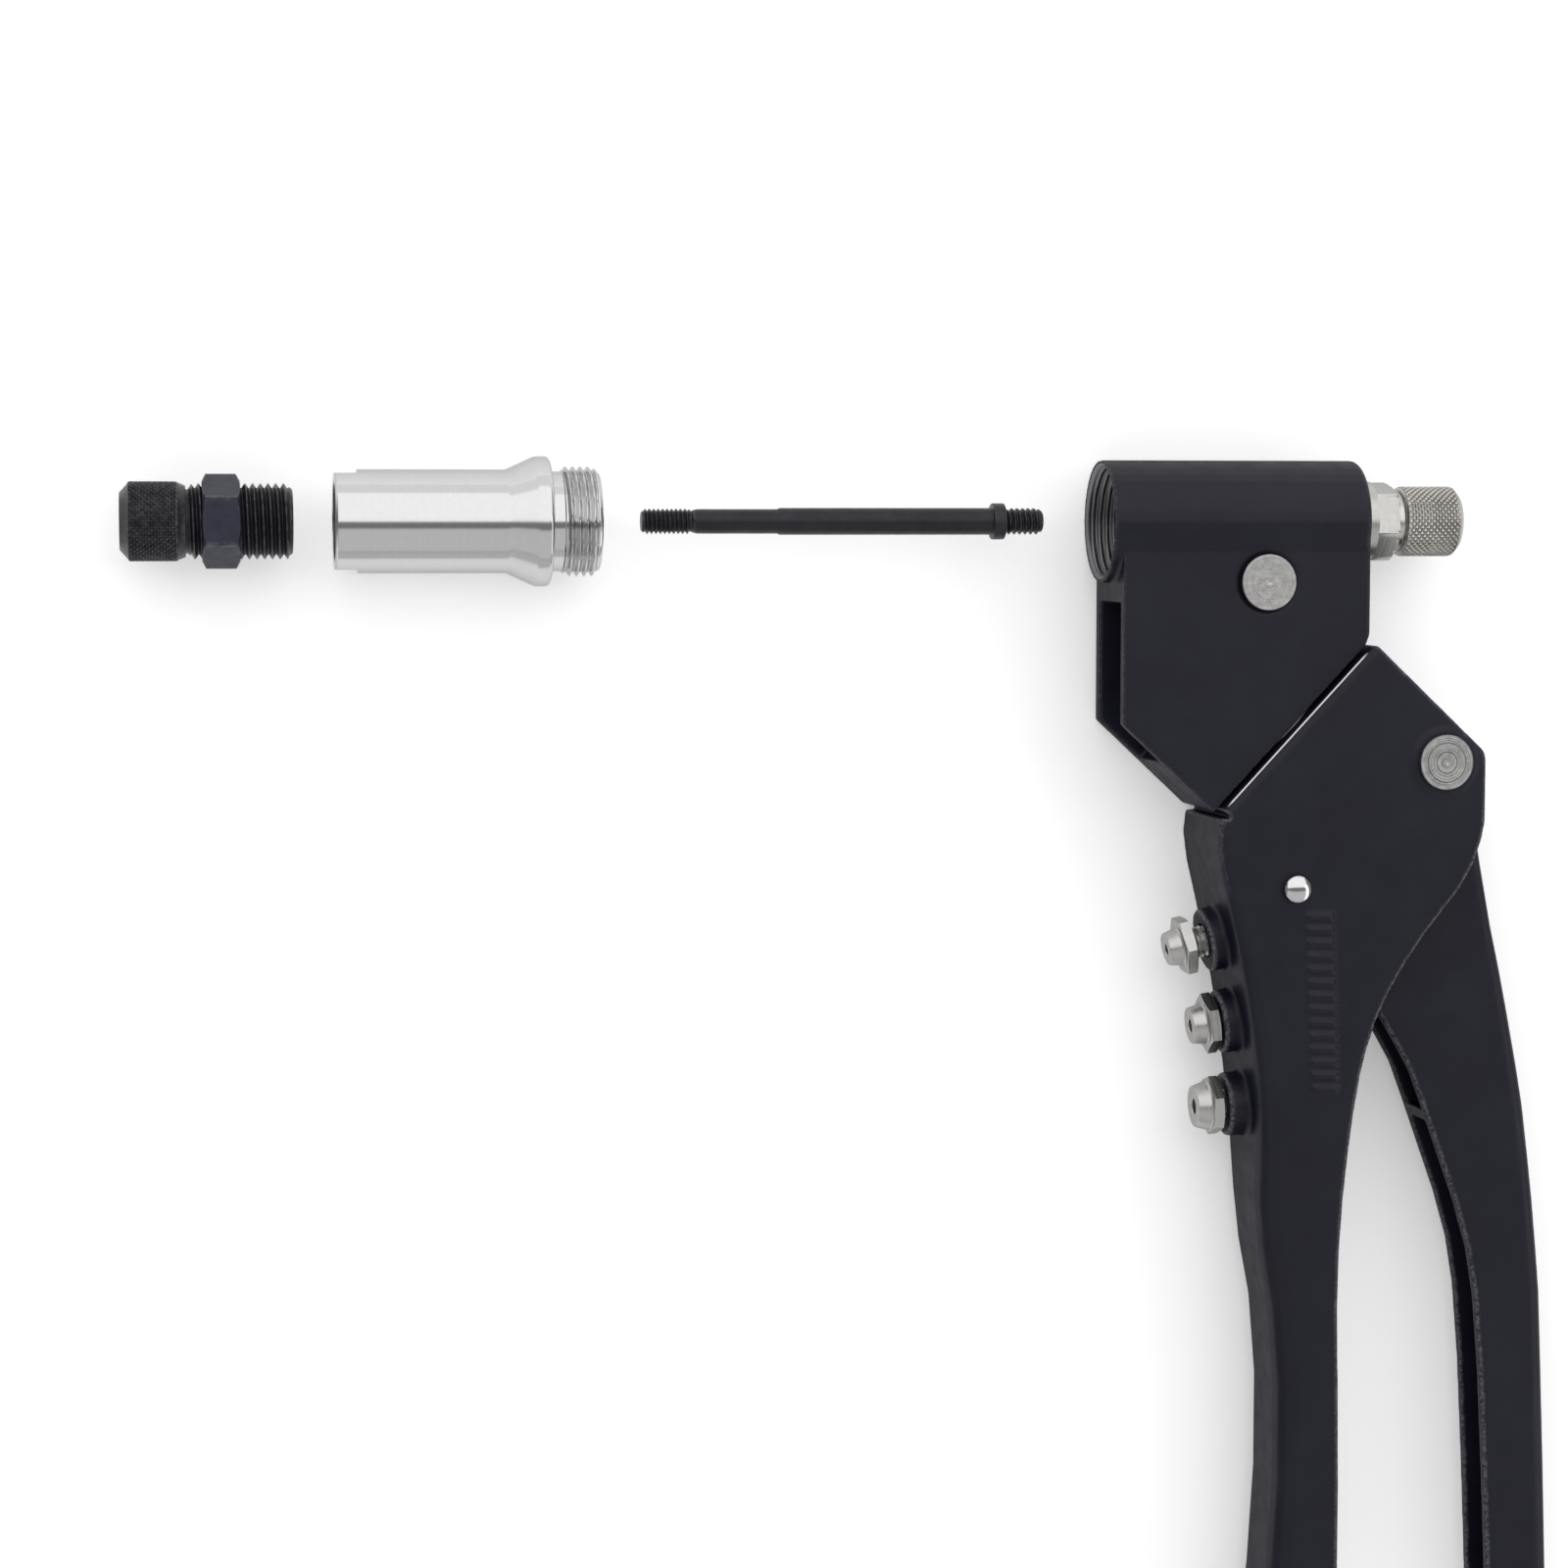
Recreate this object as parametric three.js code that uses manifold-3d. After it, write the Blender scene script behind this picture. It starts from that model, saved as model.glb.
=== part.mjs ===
// Swivel-head hand riveter with its nut-riveting parts laid out in front of the barrel.
// Millimetres. The tool lies on its flat far side: X runs along the barrel towards the rear,
// Y runs up the handles towards the barrel, and Z points up out of the near side.
// Every shape is drawn from the barrel axis at the barrel's front rim; the finished group is
// then moved so that its origin is the bottom centre of the bounding box.
import * as THREE from 'three';
import { mergeVertices } from 'three/addons/utils/BufferGeometryUtils.js';
import Module from 'manifold-3d';

const wasm = await Module();
wasm.setup();

// ---------- driving dimensions ----------
const GAP = 0.3; // running clearance between neighbouring pieces
const ROUND = 24; // facets round a turned part

const barrel = {
  radius: 12.5,
  length: 54.3,
  threadRadius: 11,
  threadDepth: 13,
  boreRadius: 10,
  boreEnd: 50,
};
const cheek = { half: 11.2, slotHalf: 8.4, left: 2.3, bottom: -41.2 };
const body = { half: 13.2, slotHalf: 9.4, gripSlotHalf: 7.7 };
const lever = { half: 7.2, channelHalf: 4.8, wall: 3, hubRadius: 7.2 };
const pinSize = { shank: 4, hole: 4.3, head: 5.5, proud: 1.0 };
const crankPivot = new THREE.Vector2(32.36, -12.34);
const leverPivot = new THREE.Vector2(69.96, -49.3);
const springPivot = new THREE.Vector2(38.63, -74.93);

// the swivel joint: "along" is the swivel axis from handle to head, "across" lies in the joint plane
const swivel = {
  centre: new THREE.Vector2(38.2, -41.87),
  angle: THREE.MathUtils.degToRad(136.7),
  headFace: 0.3,
  bodyFace: -0.4,
  webInside: 6.7,
  holeRadius: 7.3,
  rodRadius: 4,
};

const gripEnd = -250;
const leverEnd = -244;
const rollerDepth = -29.7; // lever roller, measured along the swivel axis
const crankNoseDepth = 23.2; // crank nose, measured along the swivel axis

// ---------- small helpers ----------
function swivelPoint(across, along) {
  const { centre, angle } = swivel;
  const x = centre.x + along * Math.cos(angle) + across * Math.sin(angle);
  const y = centre.y + along * Math.sin(angle) - across * Math.cos(angle);
  return new THREE.Vector2(x, y);
}

function shapeOf(points) {
  return new THREE.Shape(points.map((p) => (Array.isArray(p) ? new THREE.Vector2(...p) : p)));
}

function disc(radius, segments = ROUND) {
  const points = [];
  for (let i = 0; i < segments; i += 1) {
    const turn = (2 * Math.PI * i) / segments;
    points.push(new THREE.Vector2(radius * Math.cos(turn), radius * Math.sin(turn)));
  }
  return points;
}

// a plate with the given outline in X and Y, from height low to height high
function slab(points, low, high) {
  const geometry = new THREE.ExtrudeGeometry(shapeOf(points), { depth: high - low, bevelEnabled: false });
  return geometry.translate(0, 0, low);
}

// an upright cylinder at a point of the XY plane
function post(centre, radius, low, high) {
  return slab(disc(radius), low, high).translate(centre.x, centre.y, 0);
}

// a turned part about the X axis; the profile is a closed loop of [x, radius] pairs
function turned(profile, segments = ROUND) {
  const loop = profile.map(([x, radius]) => new THREE.Vector2(radius, x));
  loop.push(loop[0].clone());
  return new THREE.LatheGeometry(loop, segments).rotateZ(-Math.PI / 2);
}

// a solid turned part: the profile runs from the axis out and back to it
function turnedSolid(profile, segments = ROUND) {
  const line = profile.map(([x, radius]) => new THREE.Vector2(radius, x));
  return new THREE.LatheGeometry(line, segments).rotateZ(-Math.PI / 2);
}

// a tube about the X axis
function tube(start, end, outer, inner, segments = ROUND) {
  return turned([[start, inner], [start, outer], [end, outer], [end, inner]], segments);
}

function toSolid(geometry) {
  const bare = geometry.clone();
  bare.deleteAttribute('normal');
  bare.deleteAttribute('uv');
  const merged = mergeVertices(bare, 1e-4);
  const mesh = new wasm.Mesh({
    numProp: 3,
    vertProperties: new Float32Array(merged.attributes.position.array),
    triVerts: new Uint32Array(merged.index.array),
  });
  return new wasm.Manifold(mesh);
}

function toGeometry(solid) {
  const mesh = solid.getMesh();
  const geometry = new THREE.BufferGeometry();
  geometry.setAttribute('position', new THREE.BufferAttribute(new Float32Array(mesh.vertProperties), 3));
  geometry.setIndex(new THREE.BufferAttribute(new Uint32Array(mesh.triVerts), 1));
  geometry.computeVertexNormals();
  return geometry;
}

function join(...geometries) {
  return toGeometry(geometries.map(toSolid).reduce((sum, next) => sum.add(next)));
}

function cut(base, ...tools) {
  return toGeometry(tools.map(toSolid).reduce((rest, next) => rest.subtract(next), toSolid(base)));
}

function common(first, second) {
  return toGeometry(toSolid(first).intersect(toSolid(second)));
}

// moves a part turned about X onto the swivel axis
function ontoSwivel(geometry) {
  return geometry.rotateZ(swivel.angle).translate(swivel.centre.x, swivel.centre.y, 0);
}

// a lever arm: stations give y, left edge, right edge, half thickness, the corner radii of its
// left and right sides, and the radius of the far left corner where that differs
function loft(stations) {
  const cornerSteps = 3;
  const ring = ([y, left, right, half, leftCorner, rightCorner, farCorner = leftCorner]) => {
    const points = [];
    const corner = (x, z, radius, from) => {
      for (let i = 0; i <= cornerSteps; i += 1) {
        const turn = from + (Math.PI / 2) * (i / cornerSteps);
        points.push([x + radius * Math.cos(turn), y, z + radius * Math.sin(turn)]);
      }
    };
    corner(right - rightCorner, half - rightCorner, rightCorner, 0);
    corner(left + leftCorner, half - leftCorner, leftCorner, Math.PI / 2);
    corner(left + farCorner, farCorner - half, farCorner, Math.PI);
    corner(right - rightCorner, rightCorner - half, rightCorner, 1.5 * Math.PI);
    return points;
  };
  const rings = stations.map(ring);
  const count = rings[0].length;
  const positions = rings.flat(2);
  const index = [];
  for (let r = 0; r + 1 < rings.length; r += 1) {
    for (let i = 0; i < count; i += 1) {
      const a = r * count + i;
      const b = r * count + ((i + 1) % count);
      index.push(a, b, a + count, b, b + count, a + count);
    }
  }
  const last = (rings.length - 1) * count;
  for (let i = 1; i + 1 < count; i += 1) {
    index.push(0, i + 1, i);
    index.push(last, last + i, last + i + 1);
  }
  const geometry = new THREE.BufferGeometry();
  geometry.setAttribute('position', new THREE.BufferAttribute(new Float32Array(positions), 3));
  geometry.setIndex(index);
  geometry.computeVertexNormals();
  return geometry;
}

// a coil about the X axis with flat-ground ends left plain
function coil(start, end, meanRadius, wireRadius, turns) {
  class Helix extends THREE.Curve {
    getPoint(t, target = new THREE.Vector3()) {
      const turn = 2 * Math.PI * turns * t;
      const x = start + wireRadius + (end - start - 2 * wireRadius) * t;
      return target.set(x, meanRadius * Math.cos(turn), meanRadius * Math.sin(turn));
    }
  }
  const wire = shapeOf(disc(wireRadius, 5));
  return new THREE.ExtrudeGeometry(wire, { steps: Math.round(turns * 10), extrudePath: new Helix() });
}

// ---------- materials ----------
function finish(color, roughness, metalness) {
  return () => new THREE.MeshStandardMaterial({ color, roughness, metalness });
}
const blackCast = finish(0x2b2b31, 0.45, 0.3);
const nickel = finish(0xc9c7c1, 0.25, 1.0);
const dullSteel = finish(0x9c9a95, 0.4, 1.0);
const blackOxide = finish(0x25262b, 0.42, 0.7);
const springSteel = finish(0x77767a, 0.35, 1.0);
const darkSteel = finish(0x55565a, 0.45, 0.9);

const riveter = new THREE.Group();

function add(name, geometry, material, parent = riveter) {
  const mesh = new THREE.Mesh(geometry, material());
  mesh.name = name;
  parent.add(mesh);
  return mesh;
}

// ---------- fixed handle: the body casting ----------
// stations down the grip: y, left edge, right edge, half thickness, corner radii on the near left,
// the right and the far left; the far side stays flat and wide there, as the tool lies on it
const gripStations = [
  [-60.4, 22.4, 48, 13.2, 1.0, 0.8, 0.5],
  [-64.9, 21.9, 48, 13.2, 1.2, 0.8, 0.5],
  [-71.0, 22.7, 48, 13.2, 1.4, 0.8, 0.5],
  [-79.0, 24.6, 48, 13.2, 1.8, 0.8, 0.5],
  [-87.0, 26.4, 48, 13.2, 2.1, 0.8, 0.5],
  [-96.0, 28.2, 48, 13.2, 2.5, 0.8, 0.5],
  [-105, 29.7, 55.2, 13.2, 2.8, 0.8, 0.5],
  [-109, 30.2, 54.0, 13.2, 3.0, 0.8, 0.5],
  [-114, 30.9, 52.8, 13.2, 3.2, 0.8, 0.7],
  [-122, 31.6, 51.6, 12.8, 3.6, 0.8, 1.6],
  [-130, 31.9, 50.8, 12.2, 3.8, 0.8, 2.6],
  [-140, 32.0, 50.1, 11.3, 4.0, 0.8],
  [-151, 33.1, 49.6, 10.7, 4.0, 0.8],
  [-163, 35.3, 49.5, 10.3, 4.0, 0.8],
  [-180, 36.7, 49.9, 10.2, 4.0, 0.8],
  [-200, 36.7, 50.2, 10.2, 4.0, 0.8],
  [-220, 35.5, 50.2, 10.2, 4.0, 0.8],
  [-238, 34.0, 49.7, 10.2, 4.0, 0.8],
  [-245, 34.4, 49.0, 9.8, 4.0, 1.2],
  [-248.6, 36.0, 47.6, 8.8, 4.0, 2.0],
  [gripEnd, 38.2, 45.8, 7.0, 3.0, 2.0],
];
const gripWall = 3;

// three tapped bosses on the left side store the spare noses
// end: centre of the nose's tip face; tilt: degrees below the barrel axis; standOff: unscrewed length;
// turn: degrees the hexagon is turned about the nose's axis; cone, tip and bore: radii
const noseHex = { acrossFlats: 11, thickness: 2.3, coneLength: 2.9 };
const boss = { radius: 6.65, length: 9, holeRadius: 3.6, holeDepth: 7.6 };
const storedNoses = [
  { name: 'rivet_nose_large', end: [14.79, -88.49], tilt: 12, standOff: 2.8,
    turn: 26, cone: 4.0, tip: 3.35, bore: 1.2 },
  { name: 'rivet_nose_medium', end: [20.02, -104.53], tilt: 7, standOff: 0.5,
    turn: 2, cone: 4.3, tip: 3.75, bore: 1.4 },
  { name: 'rivet_nose_small', end: [20.97, -121.5], tilt: 3, standOff: 0.9,
    turn: -9, cone: 5.1, tip: 4.3, bore: 1.6 },
];

function bossFrame({ end, tilt, standOff }) {
  const angle = Math.PI + THREE.MathUtils.degToRad(tilt);
  const reach = standOff + noseHex.thickness + noseHex.coneLength;
  return { x: end[0] - reach * Math.cos(angle), y: end[1] - reach * Math.sin(angle), angle };
}

function ontoBoss(geometry, nose) {
  const { x, y, angle } = bossFrame(nose);
  return geometry.rotateZ(angle).translate(x, y, 0);
}

function bodyPlates() {
  const outline = [
    swivelPoint(-22.6, swivel.bodyFace),
    swivelPoint(23.2, swivel.bodyFace),
    swivelPoint(23.85, swivel.bodyFace - 0.9),
    swivelPoint(23.85, -32.2),
    [78.6, -47.4],
    [78.95, -48.9],
    [78.95, -61.6],
    [78.2, -65.5],
    [76.4, -70.6],
    [73.6, -75.5],
    [69.8, -80.3],
    [66.2, -84.8],
    [62.2, -90.6],
    [58.7, -96.6],
    [55.8, -102.8],
    [54.7, -106.5],
    [40, -106.5],
    [33, -96],
    [29.5, -75],
    [27, -62],
  ];
  return slab(outline, -body.half, body.half);
}

function bodyHollow() {
  const upper = [
    swivelPoint(-16, -swivel.webInside),
    swivelPoint(19.6, -swivel.webInside),
    swivelPoint(19.6, -17.5),
    swivelPoint(32, -17.5),
    [100, -45],
    [100, -108],
    [36.2, -108],
    [34, -84],
    [32, -66],
  ];
  const lower = [[36, -107], [100, -107], [100, -252]];
  for (const [y, left] of gripStations.filter(([y]) => y < -107 && y > -246).reverse()) {
    lower.push([left + gripWall, y]);
  }
  lower.splice(3, 0, [38.4, -246.5], [38.4, -244]);
  const wide = slab(upper, -body.slotHalf, body.slotHalf);
  const narrow = slab(lower, -body.gripSlotHalf, body.gripSlotHalf);
  return [wide, narrow];
}

// raised crosswise ribs on the near face, in a row down the grip
function nameplateRibs() {
  const ribs = [];
  const rows = 14;
  const first = new THREE.Vector2(43.6, -80.8);
  const last = new THREE.Vector2(45.0, -116.4);
  for (let i = 0; i < rows; i += 1) {
    const at = first.clone().lerp(last, i / (rows - 1));
    const rib = new THREE.BoxGeometry(5.2, 1.1, 1.1);
    ribs.push(rib.rotateZ(-0.04).translate(at.x, at.y, body.half));
  }
  return ribs;
}

function fixedHandle() {
  const bossProfile = [[-boss.length, 0], [-boss.length, boss.radius], [-0.5, boss.radius],
    [0, boss.radius - 0.5], [0, 0]];
  const bossHoleProfile = [[-boss.holeDepth, 0], [-boss.holeDepth, boss.holeRadius],
    [1, boss.holeRadius], [1, 0]];
  const bosses = storedNoses.map((nose) => ontoBoss(turnedSolid(bossProfile), nose));
  const bossHoles = storedNoses.map((nose) => ontoBoss(turnedSolid(bossHoleProfile), nose));
  const solid = join(bodyPlates(), loft(gripStations), ...nameplateRibs());
  const hollowed = cut(solid, ...bodyHollow());
  const bossed = join(hollowed, ...bosses);
  const bushHole = ontoSwivel(turnedSolid([[-9, 0], [-9, swivel.holeRadius],
    [1, swivel.holeRadius], [1, 0]]));
  return cut(bossed, ...bossHoles, bushHole,
    post(leverPivot, pinSize.hole, -20, 20), post(springPivot, 2.2, -20, 20));
}
add('fixed_handle', fixedHandle(), blackCast);

// ---------- head casting: barrel, cheeks and the swivel web ----------
function headCasting() {
  const outline = [
    [cheek.left, 0],
    [cheek.left, cheek.bottom],
    swivelPoint(-24.0, swivel.headFace),
    swivelPoint(22.6, swivel.headFace),
    [54.3, -23],
    [54.3, 0],
  ];
  const cheeks = slab(outline, -cheek.half, cheek.half);
  const shell = turnedSolid([[0, 0], [0, barrel.radius], [barrel.length - 0.8, barrel.radius],
    [barrel.length, barrel.radius - 0.8], [barrel.length, 0]], 36);
  const bore = turnedSolid([[-1, 0], [-1, 11.5], [0, 11.5], [0.5, barrel.threadRadius],
    [barrel.threadDepth, barrel.threadRadius], [barrel.threadDepth + 1, barrel.boreRadius],
    [barrel.boreEnd, barrel.boreRadius], [barrel.boreEnd, 5.5], [60, 5.5], [60, 0]], 36);
  const slot = slab([[-5, -16.5], [13.5, -16.5], [13.5, -4], [46, -4], [46, -16.5], [50, -16.5],
    [50, -19.6], swivelPoint(-14, swivel.webInside), [14, -46.6], [8.5, -52.5], [-5, -48]],
  -cheek.slotHalf, cheek.slotHalf);
  const bushHole = ontoSwivel(turnedSolid([[0, 0], [0, swivel.holeRadius],
    [swivel.webInside, swivel.holeRadius], [swivel.webInside, 9.7], [13, 9.7], [13, 0]]));
  return cut(join(cheeks, shell), bore, slot, bushHole, post(crankPivot, pinSize.hole, -20, 20));
}
add('head_housing', headCasting(), blackCast);

// ---------- pivot pins ----------
// a headed pin: shank through both walls, low round head on the near face
function pivotPin(half) {
  const low = -half + GAP;
  const head = half + GAP;
  const profile = [[low, 0], [low, pinSize.shank - 0.4], [low + 0.4, pinSize.shank],
    [head, pinSize.shank], [head, pinSize.head], [head + pinSize.proud - GAP, pinSize.head],
    [head + pinSize.proud, pinSize.head - GAP], [head + pinSize.proud, 0]];
  return turnedSolid(profile).rotateY(-Math.PI / 2);
}
add('crank_pin', pivotPin(cheek.half), dullSteel).position.set(crankPivot.x, crankPivot.y, 0);
add('lever_pin', pivotPin(body.half), dullSteel).position.set(leverPivot.x, leverPivot.y, 0);

function domeRivet() {
  const head = body.half + GAP;
  const radius = 2.95;
  const rise = 1.3;
  const profile = [[-12.9, 0], [-12.9, 1.9], [head, 1.9], [head, radius], [head + 0.3, radius]];
  for (let i = 1; i <= 5; i += 1) {
    const turn = (Math.PI / 2) * (i / 5);
    profile.push([head + 0.3 + rise * Math.sin(turn), i === 5 ? 0 : radius * Math.cos(turn)]);
  }
  return turnedSolid(profile).rotateY(-Math.PI / 2);
}
add('spring_pin', domeRivet(), nickel).position.set(springPivot.x, springPivot.y, 0);

// ---------- swivel joint pieces, all on the swivel axis ----------
const swivelGroup = new THREE.Group();
swivelGroup.position.set(swivel.centre.x, swivel.centre.y, 0);
swivelGroup.rotation.z = swivel.angle;
riveter.add(swivelGroup);

add('swivel_bush', turned([[-9, 4.4], [-9, 8.6], [-7, 8.6], [-7, 7], [7, 7], [7, 6.2], [8.6, 6.2], [8.6, 7],
  [10, 7], [10, 4.4]]), darkSteel, swivelGroup);
add('swivel_washer', tube(-0.3, 0.2, 10.4, swivel.holeRadius), darkSteel, swivelGroup);

function circlip() {
  const points = [];
  const open = 0.35;
  for (const [radius, forward] of [[9.2, true], [6.5, false]]) {
    for (let i = 0; i <= 20; i += 1) {
      const part = forward ? i / 20 : 1 - i / 20;
      const turn = open + (2 * Math.PI - 2 * open) * part;
      points.push(new THREE.Vector2(radius * Math.cos(turn), radius * Math.sin(turn)));
    }
  }
  return slab(points, 7.2, 8.4).rotateY(Math.PI / 2);
}
add('swivel_circlip', circlip(), springSteel, swivelGroup);

const rodLow = rollerDepth + 4 + GAP;
const rodHigh = crankNoseDepth - 4 - GAP;
add('push_rod', turnedSolid([[rodLow, 0], [rodLow, 3.4], [rodLow + 0.6, swivel.rodRadius],
  [rodHigh - 0.6, swivel.rodRadius], [rodHigh, 3.4], [rodHigh, 0]]), darkSteel, swivelGroup);

// ---------- moving handle ----------
// stations down the arm: y, left edge, right edge, half thickness, left and right corner radii
const leverStations = [
  [-62, 53.6, 79.1, 7.2, 0.6, 1.6],
  [-71, 53.9, 80.7, 7.2, 0.6, 1.8],
  [-84, 54.3, 83.2, 7.2, 0.6, 2.0],
  [-94, 55.6, 85.5, 7.2, 0.6, 2.2],
  [-102, 58.6, 87.2, 7.2, 0.6, 2.4],
  [-108, 62.2, 88.4, 7.2, 0.6, 2.5],
  [-114, 65.6, 89.6, 7.2, 0.6, 2.6],
  [-122, 68.6, 91.0, 7.2, 0.6, 2.6],
  [-132, 72.2, 92.3, 7.2, 0.6, 2.6],
  [-142, 75.8, 93.5, 7.2, 0.6, 2.6],
  [-152, 78.7, 94.5, 7.2, 0.6, 2.6],
  [-162, 80.4, 95.4, 7.2, 0.6, 2.6],
  [-178, 81.8, 96.1, 7.2, 0.6, 2.6],
  [-200, 83.0, 97.0, 7.2, 0.6, 2.6],
  [-220, 83.9, 97.7, 7.2, 0.6, 2.6],
  [-236, 84.4, 98.4, 7.2, 0.8, 2.8],
  [-241.6, 85.6, 97.5, 6.6, 1.2, 2.8],
  [leverEnd, 88.4, 94.9, 5.2, 1.6, 2.4],
];
const roller = swivelPoint(0, rollerDepth);

function movingHandle() {
  const headPoints = [];
  for (let i = 0; i <= 14; i += 1) {
    const turn = THREE.MathUtils.degToRad(-12 + (i / 14) * 182);
    const x = leverPivot.x + lever.hubRadius * Math.cos(turn);
    headPoints.push([x, leverPivot.y + lever.hubRadius * Math.sin(turn)]);
  }
  headPoints.push([56, -56.4], [54.2, -60], [54.2, -70], [77.2, -70], [77.4, -60]);
  const solid = join(slab(headPoints, -lever.half, lever.half), loft(leverStations));
  const channelEnd = leverEnd + 6;
  const channel = [[74.2, -46], [45, -46], [45, channelEnd], [82, channelEnd]];
  for (const [y, , right] of leverStations.filter(([y]) => y > channelEnd).reverse()) {
    channel.push([right - lever.wall, y]);
  }
  const web = slab([[60, -122.8], [100, -122.8], [100, -125.2], [60, -125.2]], -6, 6);
  const hub = post(leverPivot, lever.hubRadius, -lever.half, lever.half);
  const hollow = cut(slab(channel, -lever.channelHalf, lever.channelHalf), hub, web);
  return cut(solid, hollow, post(leverPivot, pinSize.hole, -20, 20), post(roller, 2.3, -20, 20));
}
add('moving_handle', movingHandle(), blackCast);

add('lever_roller', cut(post(roller, 4, -4.5, 4.5), post(roller, 2.3, -6, 6)), darkSteel);
add('roller_pin', post(roller, 2, -7, 7), springSteel);

function leverWasher(side) {
  const low = side > 0 ? lever.half + GAP : -body.slotHalf + GAP;
  return cut(post(leverPivot, 7, low, low + 1.6), post(leverPivot, pinSize.hole, -20, 20));
}
add('lever_washer_near', leverWasher(1), darkSteel);
add('lever_washer_far', leverWasher(-1), darkSteel);

// the handle-opening spring: a coil round the spring pin, one leg on the left wall, one on the lever
function openingSpring() {
  const wireRadius = 0.8;
  const coilRadius = 4.1;
  const startTurn = THREE.MathUtils.degToRad(48);
  const endTurn = THREE.MathUtils.degToRad(185.6 + 3 * 360);
  const top = 6;
  const drop = 10.5;
  const points = [new THREE.Vector3(53, -82.5, top), new THREE.Vector3(47.2, -77.2, top)];
  const steps = 42;
  for (let i = 0; i <= steps; i += 1) {
    const turn = startTurn + ((endTurn - startTurn) * i) / steps;
    points.push(new THREE.Vector3(springPivot.x + coilRadius * Math.cos(turn),
      springPivot.y + coilRadius * Math.sin(turn), top - (drop * i) / steps));
  }
  points.push(new THREE.Vector3(35.4, -84, top - drop), new THREE.Vector3(36.4, -94, top - drop));
  const path = new THREE.CatmullRomCurve3(points, false, 'centripetal');
  return new THREE.ExtrudeGeometry(shapeOf(disc(wireRadius, 5)), { steps: 64, extrudePath: path });
}
add('opening_spring', openingSpring(), springSteel);

// ---------- pulling mechanism in the head, on the barrel axis ----------
function bellCrank() {
  const nose = swivelPoint(0, crankNoseDepth);
  const hub = post(crankPivot, 6.5, -8, 8);
  const arm = nose.clone().sub(crankPivot);
  const side = new THREE.Vector2(-arm.y, arm.x).normalize();
  const armPoints = [
    crankPivot.clone().addScaledVector(side, 4.5),
    crankPivot.clone().addScaledVector(side, -4.5),
    nose.clone().addScaledVector(side, -3),
    nose.clone().addScaledVector(side, 3),
  ];
  const lower = join(slab(armPoints, -4.5, 4.5), post(nose, 4, -4.5, 4.5));
  const tineTip = new THREE.Vector2(crankPivot.x, 0);
  const tines = [];
  for (const low of [-8, 5.5]) {
    const bar = slab([[crankPivot.x - 3, crankPivot.y], [crankPivot.x + 3, crankPivot.y],
      [crankPivot.x + 3, 0], [crankPivot.x - 3, 0]], low, low + 2.5);
    tines.push(bar, post(tineTip, 3, low, low + 2.5));
  }
  const notch = slab([[20, -7.9], [45, -7.9], [45, -4], [20, -4]], -5.2, 5.2);
  return cut(join(hub, lower, ...tines), notch, post(crankPivot, pinSize.hole, -20, 20));
}
add('bell_crank', bellCrank(), darkSteel);

add('pull_carriage', turned([[10.4, 4.6], [10.4, 9.6], [19.5, 9.6], [20.3, 8.8], [20.3, 5], [35.7, 5],
  [35.7, 7.4], [39.7, 7.4], [39.7, 3.1], [20.5, 3.1], [20.5, 4.6]]), darkSteel);
add('return_spring', coil(40, 49.7, 6.4, 0.7, 3.5), springSteel);

const spindleFace = 5;
add('spindle', turnedSolid([[18.5, 0], [18.5, 3], [spindleFace, 3], [spindleFace, 6.1], [5.4, 6.5],
  [10.1, 6.5], [10.1, 4.2], [20.2, 4.2], [20.2, 2.8], [72.5, 2.8], [72.5, 0]]), darkSteel);

// a hexagon bar along X with chamfered ends and one flat facing up, turned by some degrees about X
function hexagon(start, end, acrossFlats, turn = 0) {
  const corner = acrossFlats / Math.sqrt(3);
  const flat = acrossFlats / 2;
  const chamfer = (corner - flat) * 0.4;
  const bar = new THREE.CylinderGeometry(corner, corner, end - start, 6, 1);
  bar.rotateZ(Math.PI / 2).rotateX(THREE.MathUtils.degToRad(30 + turn));
  bar.translate((start + end) / 2, 0, 0);
  const chamfered = turnedSolid([[start, 0], [start, flat], [start + chamfer, corner],
    [end - chamfer, corner], [end, flat], [end, 0]], 24);
  return common(bar, chamfered);
}

function throughBore(start, end, radius) {
  return turnedSolid([[start, 0], [start, radius], [end, radius], [end, 0]]);
}

function rearPlug() {
  const collar = turnedSolid([[50.3, 0], [50.3, 5.2], [54.6, 5.2], [54.6, 8.25], [57.2, 8.25], [57.2, 0]]);
  return cut(join(collar, hexagon(57, 62, 14.3, -13)), throughBore(45, 70, 3.1));
}
add('rear_plug', rearPlug(), nickel);
add('knob', turned([[62.3, 3.1], [62.3, 5.6], [63.6, 5.6], [63.6, 6.8], [64.1, 7.25], [75, 7.25], [76.1, 6],
  [76.1, 3.1]]), nickel);

// ---------- parts laid out in front of the barrel ----------
add('mandrel', turnedSolid([[-94.57, 0], [-94.57, 2.1], [-94.1, 2.55], [-84.4, 2.55], [-82.5, 2.48],
  [-66.94, 2.48], [-66.5, 2.72], [-22.73, 2.72], [-22.73, 3.69], [-20.2, 3.69], [-20.2, 2.7], [-12.6, 2.7],
  [-12.18, 2.2], [-12.18, 0]], 16), blackOxide);

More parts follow.
